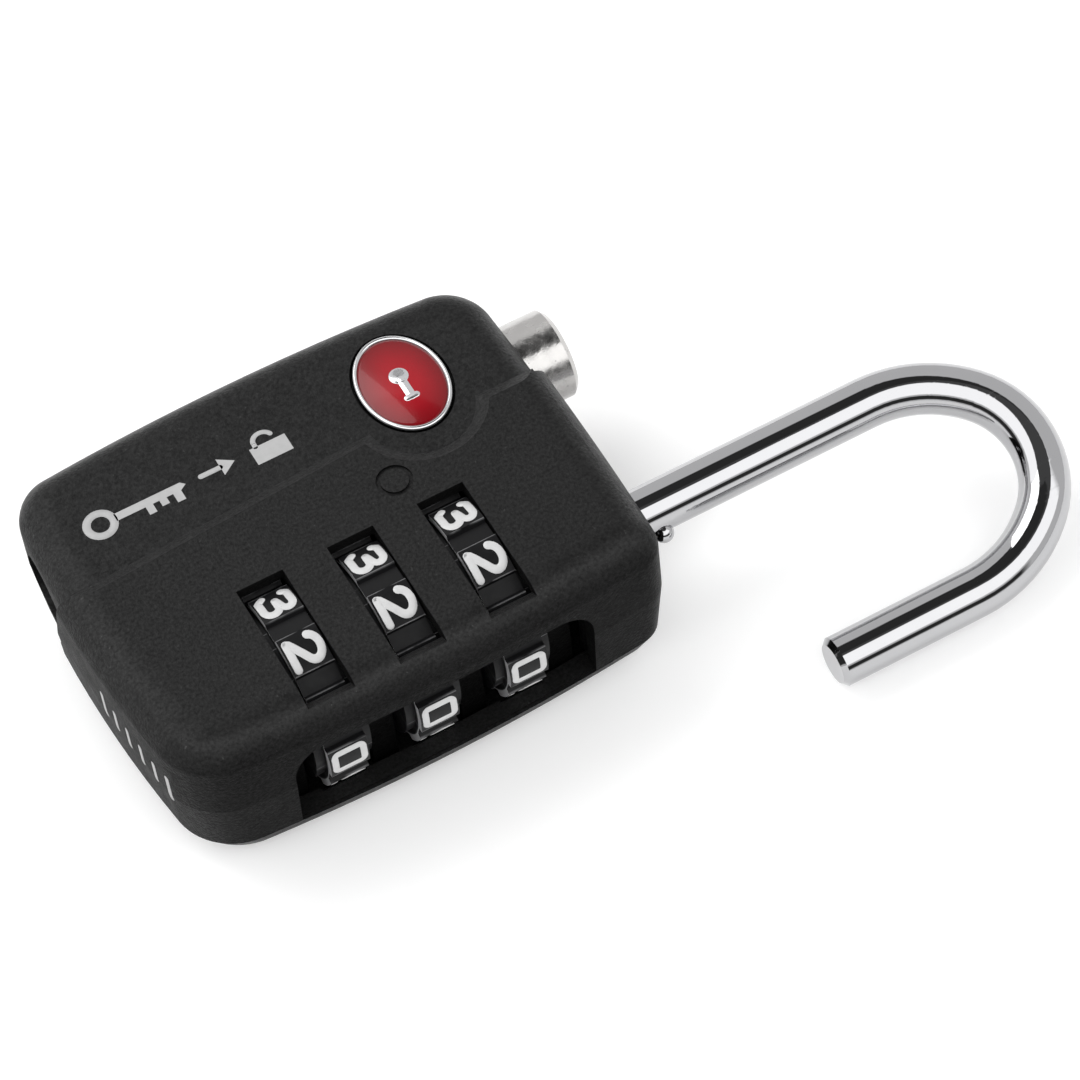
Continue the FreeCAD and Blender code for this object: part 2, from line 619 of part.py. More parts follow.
def shackle():
    """The wire shackle: a bend of three arcs, four nubs and a stud for the spring foot."""
    body = new_body("shackle")
    gap, depth, nose = cell("leg_gap"), cell("bend_depth"), cell("bend_nose")
    start, half = cell("bend_start"), cell("leg_gap") / 2
    reach = depth - nose
    side = (half ** 2 + reach ** 2 - nose ** 2) / (2 * (half - nose))
    side_centre, nose_centre = V(start, side, 0), V(start + reach, half, 0)
    joint = nose_centre + (nose_centre - side_centre).normalize() * nose
    middle = (V(start, 0, 0) + joint) * 0.5 - side_centre
    side_middle = side_centre + middle.normalize() * side
    flip = V(0, gap, 0)

    def mirrored(point):
        return V(point.x, -point.y, 0) + flip

    inner, toe = V(cell("leg_end"), 0, 0), V(cell("toe_end"), gap, 0)
    path = new_sketch(body, "XY_Plane")
    curves = (Part.LineSegment(inner, V(start, 0, 0)),
              Part.Arc(V(start, 0, 0), side_middle, joint),
              Part.Arc(joint, V(start + depth, half, 0), mirrored(joint)),
              Part.Arc(mirrored(joint), mirrored(side_middle), V(start, gap, 0)),
              Part.LineSegment(V(start, gap, 0), toe))
    for curve in curves:
        path.addGeometry(curve, False)
    section = new_sketch(body, "YZ_Plane", "sizes.leg_end")
    circle(section, "sizes.rod_radius")
    rod = body.newObject("PartDesign::AdditivePipe", "rod")
    rod.Profile = section
    rod.Spine = (path, ["Edge%d" % (number + 1) for number in range(len(curves))])
    DOC.recompute()
    ends = edges_where(rod.Shape, lambda point: abs(point.x - cell("toe_end")) < 0.01)
    chamfer(body, rod, ends, "0.3")
    stud = new_sketch(body, "YZ_Plane", "sizes.leg_end - 1.65")
    circle(stud, "0.6")
    pad(body, stud, "1.9")
    nub = body.newObject("PartDesign::AdditiveSphere", "nub")
    nub.setExpression("Radius", "sizes.nub_radius")
    nub.Placement = FreeCAD.Placement(V(cell("nub_first"), cell("nub_offset"), 0), FreeCAD.Rotation())
    repeat(body, nub, "X_Axis", "3 * sizes.dial_pitch", 4)
    body.Placement = FreeCAD.Placement(V(0, cell("leg_side"), cell("axis_height")),
                                       FreeCAD.Rotation(V(1, 0, 0), cell("swivel")))
    return body


def leg_train():
    """What lies in line with the long leg: springs, foot, washer, seat and guide plate."""
    line = ("sizes.leg_side", "sizes.axis_height")
    turned_body("shackle_foot", (("add", "1.45", "-1.2", "1.2"), ("cut", "0.66", "-2", "3")),
                "-1.5", *line)
    turned_body("foot_clip", (("add", "0.95", "-0.3", "0.3"), ("cut", "0.61", "-1", "2")),
                "-2.76", *line)
    turned_body("clutch_washer", (("add", "2.85", "0", "0.4"), ("cut", "1.62", "-1", "2")),
                "-8.3", *line)
    turned_body("spring_seat", (("add", "2.1", "0", "0.35"), ("add", "0.8", "0.3", "1.2")),
                "-12.98", *line)
    leg, height = cell("leg_side"), cell("axis_height")
    coil("shackle_spring", 0.17, 1.2, 1.25, 9.7, -12.43, leg, height)
    coil("clutch_spring", 0.22, 2.4, 0.86, 3.02, -11.36, leg, height)
    plate = new_body("guide_plate")
    place(plate, "12.3", *line)
    sketch = new_sketch(plate, "YZ_Plane")
    rectangle(sketch, -2.9, -3.75, 2.9, 4.2)
    pad(plate, sketch, "1.2")
    bore = new_sketch(plate, "YZ_Plane", "-1")
    circle(bore, "sizes.leg_bore")
    pocket(plate, bore, "3")
    keyway(plate, "-1", "3", (0.0, -169.7))


# ---------------------------------------------------------------- key side

def key_side():
    """The key cylinder, its plug and wafers, and the barrel that the plug draws in."""
    line = ("sizes.leg_side + sizes.leg_gap", "sizes.axis_height")
    turned_body("key_cylinder", (
        ("add", "sizes.cylinder_radius", "sizes.cylinder_start", "6.8"),
        ("cut", "sizes.plug_bore", "-14", "9")),
        "0", *line)
    plug = turned_body("key_plug", (
        ("add", "sizes.plug_radius", "-14.3", "9.6"),
        ("add", "sizes.tail_radius", "-4.8", "6.6")), "0", *line)
    cut_box(plug, "YZ_Plane", "-15", "8.5", (-0.42, -1.65, 0.42, 1.65))
    wafer_slot = cut_box(plug, "YZ_Plane", "-13.1", "0.6", (-1.25, -1.78, 1.25, 1.78))
    repeat(plug, wafer_slot, "X_Axis", "5.2", 5)
    groove = new_sketch(plug, "YZ_Plane", "-5.36")
    for radius in ("3", "1.85"):
        circle(groove, radius)
    pocket(plug, groove, "0.34")
    pin_hole = new_sketch(plug, "XY_Plane", "-3")
    circle(pin_hole, "0.46", (0.8, 0.0))
    pocket(plug, pin_hole, "6")
    wafers = new_body("key_wafers")
    place(wafers, "0", *line)
    sketch = new_sketch(wafers, "YZ_Plane", "-13.05")
    rectangle(sketch, -1.2, -1.73, 1.2, 1.73)
    rectangle(sketch, -0.55, -0.95, 0.55, 0.75)
    wafer = pad(wafers, sketch, "0.5")
    repeat(wafers, wafer, "X_Axis", "5.2", 5)
    clip = turned_body("plug_clip", (("add", "2.75", "-5.34", "0.3"), ("cut", "1.88", "-6", "2")),
                       "0", *line)
    cut_box(clip, "YZ_Plane", "-6", "2", (-1.2, -4, 1.2, -1.0))
    pin = new_body("cam_pin")
    place(pin, "0", *line)
    sketch = new_sketch(pin, "XY_Plane", "-1.15")
    circle(sketch, "0.44", (0.8, 0.0))
    pad(pin, sketch, "3.6")
    barrel()
    coil("barrel_spring", 0.15, 0.95, 1.1, 4.6, 1.95, cell("leg_side") + cell("leg_gap"),
         cell("axis_height"))
    bush = new_body("barrel_bush")
    place(bush, "8.6", *line)
    sketch = new_sketch(bush, "YZ_Plane")
    rectangle(sketch, -3.4, -3.85, 3.4, 4.55)
    pad(bush, sketch, "2.8")
    bore = new_sketch(bush, "YZ_Plane", "-1")
    circle(bore, "sizes.barrel_bore")
    pocket(bush, bore, "5")


def barrel():
    """The barrel that takes the short leg, with the helical slot that draws it in."""
    body = turned_body("toe_barrel", (
        ("add", "sizes.barrel_radius", "-1", "sizes.barrel_end + 1"),
        ("cut", "1.35", "-2", "8.6"),
        ("cut", "sizes.toe_bore", "sizes.barrel_end - 4.6", "5")),
        "0", "sizes.leg_side + sizes.leg_gap", "sizes.axis_height")
    DOC.recompute()
    rims = edges_where(body.Tip.Shape, lambda point: abs(point.x - cell("barrel_end")) < 0.01)
    chamfer(body, body.Tip, rims, "0.3")
    slot = None
    steps = 12
    for step in range(steps + 1):
        share = step / steps
        reach = V(0.8 + cell("barrel_travel") * share, 0, 0)
        turn = FreeCAD.Rotation(V(1, 0, 0), 90 * share)
        bit = Part.makeCylinder(0.6, 4.0, reach, turn.multVec(V(0, 0, 1)))
        slot = bit if slot is None else slot.fuse(bit)
    slot.translate(V(0, cell("leg_side") + cell("leg_gap"), cell("axis_height")))
    cutter = DOC.addObject("Part::Feature", "helical_slot")
    cutter.Shape = slot
    DOC.recompute()
    cut = DOC.addObject("Part::Cut", "toe_barrel_cut")
    cut.Base, cut.Tool = body, cutter
    body.Label = "toe_barrel_blank"
    cut.Label = "toe_barrel"


# ---------------------------------------------------------------- build

NODES = ("front_shell", "back_cover", "case_pins", "badge_rim", "badge_enamel", "badge_keyhole",
         "dial_1", "dial_2", "dial_3", "clutch_sleeve_1", "clutch_sleeve_2", "clutch_sleeve_3",
         "dial_frame", "detent_spring", "detent_rivets", "shackle", "shackle_foot", "foot_clip",
         "clutch_washer", "clutch_spring", "shackle_spring", "spring_seat", "guide_plate",
         "key_cylinder", "key_plug", "key_wafers", "plug_clip", "cam_pin", "toe_barrel",
         "barrel_spring", "barrel_bush")


def build():
    """Make every piece."""
    fill_sheet()
    blank = case_blank()
    front_shell(blank)
    back_cover(blank)
    case_pins()
    badge()
    for number in (1, 2, 3):
        dial(number)
        clutch_sleeve(number)
    dial_frame()
    detent_spring()
    shackle()
    leg_train()
    key_side()
    DOC.recompute()


def faults():
    """What is wrong with the document, as a list of plain sentences."""
    found = []
    for item in DOC.Objects:
        if "Invalid" in item.State or "Error" in item.State:
            found.append("%s failed" % item.Name)
        if item.TypeId == "PartDesign::Pocket" and item.Shape.Volume > item.BaseFeature.Shape.Volume - 1e-6:
            found.append("%s in %s cuts nothing" % (item.Name, item.getParentGeoFeatureGroup().Label))
    for label in NODES:
        shape = DOC.getObjectsByLabel(label)[0].Shape
        if shape.isNull() or not shape.isValid() or not shape.Solids:
            found.append("%s has no valid solid" % label)
    return found


def write_parts():
    """Write each piece to its own STEP file."""
    os.makedirs("parts", exist_ok=True)
    for label in NODES:
        shape = DOC.getObjectsByLabel(label)[0].Shape
        shape.exportStep("parts/%s.step" % label)
        box = shape.BoundBox
        print("%-16s %8.1f mm3  x %6.2f %6.2f  y %6.2f %6.2f  z %6.2f %6.2f  %d" % (
            label, shape.Volume, box.XMin, box.XMax, box.YMin, box.YMax, box.ZMin, box.ZMax,
            len(shape.Solids)))


build()
problems = faults()
for problem in problems:
    print(problem)
if problems:
    raise SystemExit("nothing was written")
write_parts()
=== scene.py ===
import json
import math

import bmesh
import bpy
from mathutils import Matrix, Vector
from mathutils.bvhtree import BVHTree

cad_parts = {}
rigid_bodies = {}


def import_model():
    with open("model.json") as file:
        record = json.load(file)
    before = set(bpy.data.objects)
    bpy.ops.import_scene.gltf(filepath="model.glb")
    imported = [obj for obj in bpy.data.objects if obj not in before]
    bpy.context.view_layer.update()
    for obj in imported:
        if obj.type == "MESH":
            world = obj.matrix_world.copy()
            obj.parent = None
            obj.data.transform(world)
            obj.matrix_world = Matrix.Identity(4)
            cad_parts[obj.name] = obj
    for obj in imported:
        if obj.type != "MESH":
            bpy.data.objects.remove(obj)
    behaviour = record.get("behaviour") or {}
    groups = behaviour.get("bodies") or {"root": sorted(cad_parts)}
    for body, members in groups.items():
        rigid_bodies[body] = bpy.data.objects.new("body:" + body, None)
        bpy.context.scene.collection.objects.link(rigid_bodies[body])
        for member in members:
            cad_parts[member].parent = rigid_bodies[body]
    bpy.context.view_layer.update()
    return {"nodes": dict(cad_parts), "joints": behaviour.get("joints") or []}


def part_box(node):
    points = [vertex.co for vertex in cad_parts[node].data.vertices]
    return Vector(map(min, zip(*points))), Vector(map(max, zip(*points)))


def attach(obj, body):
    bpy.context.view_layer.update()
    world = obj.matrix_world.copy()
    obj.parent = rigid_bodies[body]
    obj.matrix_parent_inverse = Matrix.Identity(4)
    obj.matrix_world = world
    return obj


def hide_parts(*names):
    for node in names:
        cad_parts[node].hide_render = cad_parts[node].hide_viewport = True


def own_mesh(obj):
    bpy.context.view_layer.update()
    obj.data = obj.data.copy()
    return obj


# Studio picture of a small three-dial padlock, lying open on its back. Places are in metres, in the
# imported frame's own axes.

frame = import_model()
MM = 0.001
NODES = frame["nodes"]
SCENE = bpy.context.scene


# ---------------------------------------------------------------- places, from the frame

def centre_of(node):
    """Middle of a CAD node's box at rest."""
    low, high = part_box(node)
    return (Vector(low) + Vector(high)) / 2


DIALS = ("dial_1", "dial_2", "dial_3")
SHELL_LOW = Vector(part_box("front_shell")[0])
STRIP_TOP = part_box("badge_rim")[0][2] + 0.44 * MM
DIAL_AXIS = next(Vector(joint["pos_m"]) for joint in frame["joints"] if joint["name"] == "dial_1_turn")
DIAL_RADIUS = 5.78 * MM
DIAL_DIGITS = 10
# A dial's flanks are bare metal outside this radius. The metal fades in over this much each way.
FLANK_RADIUS = 5.36 * MM
FLANK_FADE = 0.03 * MM
# A groove's edge from the groove's middle, and how far the painted highlight along it reaches, in tenths
# of a turn.
GROOVE_EDGE = 0.18
GLINT_REACH = 0.014
# Digits are drawn in millimetres, then shifted along the dial's axis, widened round it and stretched.
DIGIT_SHIFT = 0.02 * MM
DIGIT_WIDEN = 1.16
DIGIT_STRETCH = 1.06
DIGIT_HALF_STROKE = 0.225
ZERO_HALF_STROKE = 0.195
# Half the enamel's size along x and y, over which it darkens towards its edge.
ENAMEL_REACH = (2.3 * MM, 3.2 * MM)
# Each CAD spring with the joint that squashes it and that joint's travel in millimetres.
SPRINGS = {
    "shackle_spring": ("shackle_slide", 6.5),
    "clutch_spring": ("washer_slide", 1.3),
    "barrel_spring": ("barrel_retract", 3.0),
}


# ---------------------------------------------------------------- material helpers

def material(name, slot_nodes=()):
    """A new node material in the slots of these CAD nodes. Returns it, its tree and its shader."""
    made = bpy.data.materials.new(name)
    made.use_nodes = True
    tree = made.node_tree
    shader = tree.nodes["Principled BSDF"]
    for node in slot_nodes:
        piece = NODES[node]
        if not piece.material_slots:
            piece.data.materials.append(made)
        for slot in piece.material_slots:
            slot.material = made
    return made, tree, shader


def add(tree, kind, inputs=None, **settings):
    """A node with its settings and input values."""
    node = tree.nodes.new(kind)
    for name, setting in settings.items():
        setattr(node, name, setting)
    for name, number in (inputs or {}).items():
        node.inputs[name].default_value = number
    return node


def place(tree, stretch=(1, 1, 1)):
    """Object coordinates, stretched."""
    coords = add(tree, "ShaderNodeTexCoord")
    mapping = add(tree, "ShaderNodeMapping", {"Scale": stretch})
    tree.links.new(coords.outputs["Object"], mapping.inputs["Vector"])
    return mapping.outputs["Vector"]


def noise(tree, scale, detail=2.0, stretch=(1, 1, 1), roughness=0.5):
    """A noise from 0 to 1 over the object."""
    made = add(tree, "ShaderNodeTexNoise", {"Scale": scale, "Detail": detail, "Roughness": roughness})
    tree.links.new(place(tree, stretch), made.inputs["Vector"])
    return made.outputs["Fac"]


def cells(tree, scale):
    """Distance to the nearest of many scattered points, in cells."""
    made = add(tree, "ShaderNodeTexVoronoi", {"Scale": scale})
    tree.links.new(place(tree), made.inputs["Vector"])
    return made.outputs["Distance"]


def span(tree, factor, low, high, start, end):
    """Maps low..high to start..end and holds it there."""
    made = add(tree, "ShaderNodeMapRange",
               {"From Min": low, "From Max": high, "To Min": start, "To Max": end})
    tree.links.new(factor, made.inputs["Value"])
    return made.outputs["Result"]


def maths(tree, operation, first, second=None):
    """One Math node. The inputs are sockets or numbers."""
    made = add(tree, "ShaderNodeMath", operation=operation)
    for socket, entry in zip(made.inputs, (first, second)):
        if isinstance(entry, (int, float)):
            socket.default_value = entry
        elif entry is not None:
            tree.links.new(entry, socket)
    return made.outputs[0]


def times(tree, first, second):
    """The first input times the second."""
    return maths(tree, "MULTIPLY", first, second)


def plus(tree, first, second):
    """The first input plus the second."""
    return maths(tree, "ADD", first, second)


def less(tree, first, second):
    """The first input less the second."""
    return maths(tree, "SUBTRACT", first, second)


def blend_colour(tree, factor, first, second):
    """A colour that goes from first to second with the factor."""
    made = add(tree, "ShaderNodeMix", data_type="RGBA")
    tree.links.new(factor, made.inputs["Factor"])
    for socket, entry in zip((made.inputs[6], made.inputs[7]), (first, second)):
        if isinstance(entry, tuple):
            socket.default_value = (*entry, 1.0)
        else:
            tree.links.new(entry, socket)
    return made.outputs[2]


def bump(tree, shader, *heights):
    """Chains bumps onto the shader. A height is (socket, depth in metres)."""
    last = None
    for socket, depth in heights:
        made = add(tree, "ShaderNodeBump", {"Strength": 1.0, "Distance": depth})
        tree.links.new(socket, made.inputs["Height"])
        if last is not None:
            tree.links.new(last, made.inputs["Normal"])
        last = made.outputs["Normal"]
    tree.links.new(last, shader.inputs["Normal"])


def facing(tree):
    """How far the surface faces along each axis of its object, from 0 to 1."""
    coords = add(tree, "ShaderNodeTexCoord")
    parts = add(tree, "ShaderNodeSeparateXYZ")
    tree.links.new(coords.outputs["Normal"], parts.inputs[0])
    return [maths(tree, "ABSOLUTE", output) for output in parts.outputs]


def edge_mask(tree, sizes):
    """0 on faces square to an axis, 1 on slopes and rounded edges."""
    largest = maths(tree, "MAXIMUM", maths(tree, "MAXIMUM", sizes[0], sizes[1]), sizes[2])
    return span(tree, less(tree, 1.0, largest), 0.02, 0.20, 0.0, 1.0)


# ---------------------------------------------------------------- materials

def moulded_plastic(name, nodes, tone, specular):
    """Fine-grained charcoal plastic: mottled skin, rare specks, edges polished by handling. Painted shade
    darkens faces that don't face up, and a painted sheen lightens rounded edges that face partly up.
    """
    _, tree, shader = material(name, nodes)
    sizes = facing(tree)
    edges = edge_mask(tree, sizes)
    level = span(tree, sizes[2], 0.15, 0.85, 0.0, 1.0)
    cloud = span(tree, noise(tree, 300, 3), 0.3, 0.7, 0.90, 1.10)
    grain = noise(tree, 5200, 3, roughness=0.65)
    shade = times(tree, cloud, span(tree, grain, 0.3, 0.7, 0.70, 1.30))
    speck = span(tree, noise(tree, 4400, 1), 0.72, 0.80, 0.0, 2.2)
    # Painted sheen: rounded edges that face partly up get a lighter base colour.
    painted_edge_sheen = times(tree, times(tree, edges, level), 1.2)
    # Painted shade: faces that turn away from straight up get a darker base colour, down to three
    # quarters on vertical faces.
    painted_light = plus(tree, span(tree, level, 0.0, 1.0, 0.75, 1.0), painted_edge_sheen)
    base = times(tree, plus(tree, shade, speck), times(tree, painted_light, tone))
    tree.links.new(base, shader.inputs["Base Color"])
    shine = times(tree, span(tree, level, 0.0, 1.0, 0.22, 1.0),
                  span(tree, grain, 0.3, 0.7, 0.55, 1.45))
    tree.links.new(times(tree, shine, specular), shader.inputs["Specular IOR Level"])
    rough = less(tree, span(tree, noise(tree, 900, 2), 0.3, 0.7, 0.44, 0.52), times(tree, edges, 0.10))
    tree.links.new(rough, shader.inputs["Roughness"])
    bump(tree, shader, (grain, 0.040 * MM), (noise(tree, 700, 2), 0.016 * MM))


def chrome(name, nodes, tone, low_rough, high_rough):
    """Bright plating with hair scratches along x and faint waviness."""
    made, tree, shader = material(name, nodes)
    shader.inputs["Metallic"].default_value = 1.0
    haze = noise(tree, 420, 3)
    tint = blend_colour(tree, haze, tuple(part * 0.95 for part in tone), tone)
    tree.links.new(tint, shader.inputs["Base Color"])
    scratch = span(tree, noise(tree, 3800, 4, (0.03, 1, 1)), 0.56, 0.74, 0.0, 1.0)
    rough = span(tree, scratch, 0.0, 1.0, low_rough, high_rough)
    tree.links.new(rough, shader.inputs["Roughness"])
    bump(tree, shader, (noise(tree, 190, 1), 0.010 * MM), (scratch, 0.0006 * MM))
    return made


def cast_nickel(name, nodes, tone):
    """Plated die casting: satin, pitted, with small dark specks."""
    _, tree, shader = material(name, nodes)
    shader.inputs["Metallic"].default_value = 1.0
    pits = span(tree, cells(tree, 2600), 0.02, 0.16, 1.0, 0.0)
    patches = span(tree, noise(tree, 600, 3), 0.42, 0.62, 0.0, 1.0)
    spots = times(tree, pits, patches)
    base = blend_colour(tree, spots, tone, tuple(part * 0.28 for part in tone))
    tree.links.new(base, shader.inputs["Base Color"])
    rough = span(tree, noise(tree, 1700, 3), 0.3, 0.7, 0.14, 0.30)
    tree.links.new(rough, shader.inputs["Roughness"])
    bump(tree, shader, (noise(tree, 2300, 3), 0.016 * MM), (spots, -0.008 * MM))


def plain_metal(name, nodes, tone, rough_low, rough_high):
    """Rolled or drawn metal with a directional brush and faint stains."""
    _, tree, shader = material(name, nodes)
    shader.inputs["Metallic"].default_value = 1.0
    stain = noise(tree, 500, 3)
    base = blend_colour(tree, stain, tuple(part * 0.78 for part in tone), tone)
    tree.links.new(base, shader.inputs["Base Color"])
    brush = noise(tree, 5200, 3, (1, 0.08, 1))
    tree.links.new(span(tree, brush, 0.3, 0.7, rough_low, rough_high), shader.inputs["Roughness"])
    bump(tree, shader, (brush, 0.004 * MM))


def dial_metal(node):
    """Black paint over the whole dial but for its bare outer flanks, and a painted highlight of light
    metal along the groove edges.
    """
    _, tree, shader = material("finish_" + node, (node,))
    coords = add(tree, "ShaderNodeTexCoord")
    shift = add(tree, "ShaderNodeVectorMath", operation="SUBTRACT")
    shift.inputs[1].default_value = (centre_of(node).x, DIAL_AXIS.y, DIAL_AXIS.z)
    tree.links.new(coords.outputs["Object"], shift.inputs[0])
    parts = add(tree, "ShaderNodeSeparateXYZ")
    tree.links.new(shift.outputs[0], parts.inputs[0])
    across, up = parts.outputs[1], parts.outputs[2]
    radius = maths(tree, "SQRT", plus(tree, times(tree, across, across), times(tree, up, up)))
    outer = span(tree, radius, FLANK_RADIUS - FLANK_FADE, FLANK_RADIUS + FLANK_FADE, 0.0, 1.0)
    flank = times(tree, span(tree, facing(tree)[0], 0.85, 0.95, 0.0, 1.0), outer)
    turn = times(tree, maths(tree, "ARCTAN2", up, across), DIAL_DIGITS / math.tau)
    from_groove = maths(tree, "ABSOLUTE", less(tree, maths(tree, "FRACT", turn), 0.5))
    off_edge = maths(tree, "ABSOLUTE", less(tree, from_groove, GROOVE_EDGE))
    # Painted highlight: light metal in broken lines along both edges of each groove.
    groove_glint = times(tree, span(tree, off_edge, 0.0, GLINT_REACH, 0.35, 0.0),
                  span(tree, noise(tree, 900, 2), 0.35, 0.55, 0.0, 1.0))
    flank_and_glint = maths(tree, "MAXIMUM", flank, groove_glint)
    metal = blend_colour(tree, noise(tree, 1500, 3), (0.40, 0.40, 0.41), (0.58, 0.58, 0.59))
    black = blend_colour(tree, noise(tree, 1100, 3), (0.004, 0.004, 0.0045), (0.007, 0.007, 0.0075))
    tree.links.new(blend_colour(tree, flank_and_glint, black, metal), shader.inputs["Base Color"])
    tree.links.new(times(tree, flank_and_glint, 0.3), shader.inputs["Metallic"])
    rough = plus(tree, span(tree, flank_and_glint, 0.0, 1.0, 0.42, 0.34),
                 span(tree, noise(tree, 2200, 2), 0.3, 0.7, -0.04, 0.06))
    tree.links.new(rough, shader.inputs["Roughness"])
    shader.inputs["Specular IOR Level"].default_value = 0.16
    bump(tree, shader, (noise(tree, 3000, 2), 0.006 * MM))


def enamel():
    """Deep red enamel under a clear coat, darker towards its edge, with flecks in its depth."""
    made, tree, shader = material("finish_enamel")
    middle = centre_of("badge_enamel")
    coords = add(tree, "ShaderNodeTexCoord")
    wide, long = ENAMEL_REACH
    shift = add(tree, "ShaderNodeMapping", {"Location": (-middle.x / wide, -middle.y / long, 0.0),
                                            "Scale": (1 / wide, 1 / long, 0.0)})
    tree.links.new(coords.outputs["Object"], shift.inputs["Vector"])
    length = add(tree, "ShaderNodeVectorMath", operation="LENGTH")
    tree.links.new(shift.outputs[0], length.inputs[0])
    depth = span(tree, length.outputs["Value"], 0.35, 1.0, 0.0, 1.0)
    cloud = blend_colour(tree, noise(tree, 650, 3), (0.26, 0.002, 0.007), (0.36, 0.003, 0.011))
    tree.links.new(blend_colour(tree, depth, cloud, (0.15, 0.001, 0.004)), shader.inputs["Base Color"])
    shader.inputs["Roughness"].default_value = 0.22
    shader.inputs["Specular IOR Level"].default_value = 0.2
    shader.inputs["Coat Weight"].default_value = 0.3
    shader.inputs["Coat Roughness"].default_value = 0.05
    bump(tree, shader, (noise(tree, 500, 2), 0.010 * MM))
    return made


def print_ink(name, low, high):
    """Pad-printed light ink: a thin, slightly mottled layer."""
    made, tree, shader = material(name)
    tone = blend_colour(tree, noise(tree, 2600, 3), (low,) * 3, (high,) * 3)
    tree.links.new(tone, shader.inputs["Base Color"])
    tree.links.new(span(tree, noise(tree, 1500, 2), 0.3, 0.7, 0.42, 0.58), shader.inputs["Roughness"])
    bump(tree, shader, (noise(tree, 4200, 2), 0.006 * MM))
    return made


def finish_nodes():
    """Give every CAD node its material."""
    steel = ("case_pins", "detent_rivets", "shackle_foot", "clutch_washer", "spring_seat",
             "guide_plate", "cam_pin")
    spring_wire = ("detent_spring", "foot_clip", "clutch_spring", "shackle_spring", "plug_clip",
                   "barrel_spring")
    brass = ("clutch_sleeve_1", "clutch_sleeve_2", "clutch_sleeve_3", "key_wafers")
    moulded_plastic("finish_shell", ("front_shell", "back_cover"), 0.0072, 0.17)
    # Painted shade: the inner parts take a darker, less shiny copy of the shell plastic.
    moulded_plastic("finish_inner_shaded", ("dial_frame", "barrel_bush"), 0.004, 0.08)
    chrome("finish_shackle", ("shackle",), (0.46, 0.46, 0.47), 0.03, 0.12)
    cast_nickel("finish_barrel", ("toe_barrel", "key_plug", "key_cylinder"), (0.50, 0.49, 0.48))
    plain_metal("finish_steel", steel, (0.52, 0.52, 0.53), 0.2, 0.36)
    plain_metal("finish_spring", spring_wire, (0.45, 0.45, 0.47), 0.14, 0.28)
    plain_metal("finish_brass", brass, (0.66, 0.47, 0.20), 0.18, 0.32)
    for node in DIALS:
        dial_metal(node)


# ---------------------------------------------------------------- meshes

# Strokes are drawn in millimetres: their longest step, what counts as one point, and facets on an end.
STROKE_GAP = 0.12
SAME_POINT = 1e-6
CAP_STEPS = 8
# The badge: facets round it and round the bezel's section, the bezel's width, and the share of that
# width which lies outside the dome.
OVAL_STEPS = 96
BEZEL_STEPS = 16
BEZEL_WIDTH = 0.36 * MM
BEZEL_OVERLAP = 0.7
# The dome: its rings, its height over its edge, and how far its edge lies below the bezel's top.
DOME_RINGS = 12
DOME_CROWN = 0.20 * MM
DOME_DROP = 0.16 * MM


def mesh_object(name, points, faces, finish, body, slot):
    """A mesh piece that rides on a body."""
    mesh = bpy.data.meshes.new(name)
    mesh.from_pydata([tuple(point) for point in points], [], faces)
    work = bmesh.new()
    work.from_mesh(mesh)
    bmesh.ops.remove_doubles(work, verts=work.verts, dist=1e-7)
    bmesh.ops.recalc_face_normals(work, faces=work.faces)
    work.to_mesh(mesh)
    work.free()
    piece = bpy.data.objects.new(name, mesh)
    SCENE.collection.objects.link(piece)
    mesh.materials.append(finish)
    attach(piece, body)
    return piece


def arc(centre, radii, start, end, steps=14):
    """Points along an elliptic arc, from start to end degrees."""
    angles = [math.radians(start + (end - start) * step / steps) for step in range(steps + 1)]
    return [Vector((centre[0] + radii[0] * math.cos(a), centre[1] + radii[1] * math.sin(a)))
            for a in angles]


def resample(path, gap):
    """The same path with no step longer than gap."""
    points = [Vector(path[0])]
    for start, end in zip(path, path[1:]):
        start, end = Vector(start), Vector(end)
        count = max(1, math.ceil((end - start).length / gap))
        points += [start.lerp(end, step / count) for step in range(1, count + 1)]
    return points


def sides(points, closed):
    """Unit normals along a path, to its left."""
    found = []
    last = len(points) - 1
    for index in range(len(points)):
        before = points[index - 1] if index or closed else points[0]
        after = points[(index + 1) % len(points)] if index < last or closed else points[last]
        way = (after - before).normalized()
        found.append(Vector((-way.y, way.x)))
    return found


def round_cap(verts, faces, point, side, turn, half, soft, lift, put):
    """Adds half a disc with a soft edge to the end of a stroke. turn is 1 at its start, -1 at its end."""
    first = len(verts)
    verts.append(put(*point, lift))
    base = math.atan2(side.y, side.x)
    for step in range(CAP_STEPS + 1):
        angle = base + turn * math.pi * step / CAP_STEPS
        way = Vector((math.cos(angle), math.sin(angle)))
        verts.append(put(*(point + way * (half - soft)), lift))
        verts.append(put(*(point + way * half), 0.0))
    for step in range(CAP_STEPS):
        inner = first + 1 + step * 2
        faces.append((first, inner, inner + 2))
        faces.append((inner, inner + 1, inner + 3, inner + 2))


def stroke(path, half, lift, put, closed=False, soft=0.06):
    """A raised stroke with soft edges and round ends. put maps (u, v, height) to space."""
    points = resample(path, STROKE_GAP)
    if closed and (points[0] - points[-1]).length < SAME_POINT:
        points.pop()
    verts, faces = [], []
    rows = ((-half, 0.0), (-half + soft, lift), (half - soft, lift), (half, 0.0))
    normals = sides(points, closed)
    for point, side in zip(points, normals):
        verts += [put(*(point + side * reach), height) for reach, height in rows]
    count = len(points)
    for index in range(count if closed else count - 1):
        here, following = index * 4, (index + 1) % count * 4
        faces += [(here + row, following + row, following + row + 1, here + row + 1) for row in range(3)]
    if not closed:
        for end, turn in ((0, 1), (count - 1, -1)):
            round_cap(verts, faces, points[end], normals[end], turn, half, soft, lift, put)
    return verts, faces


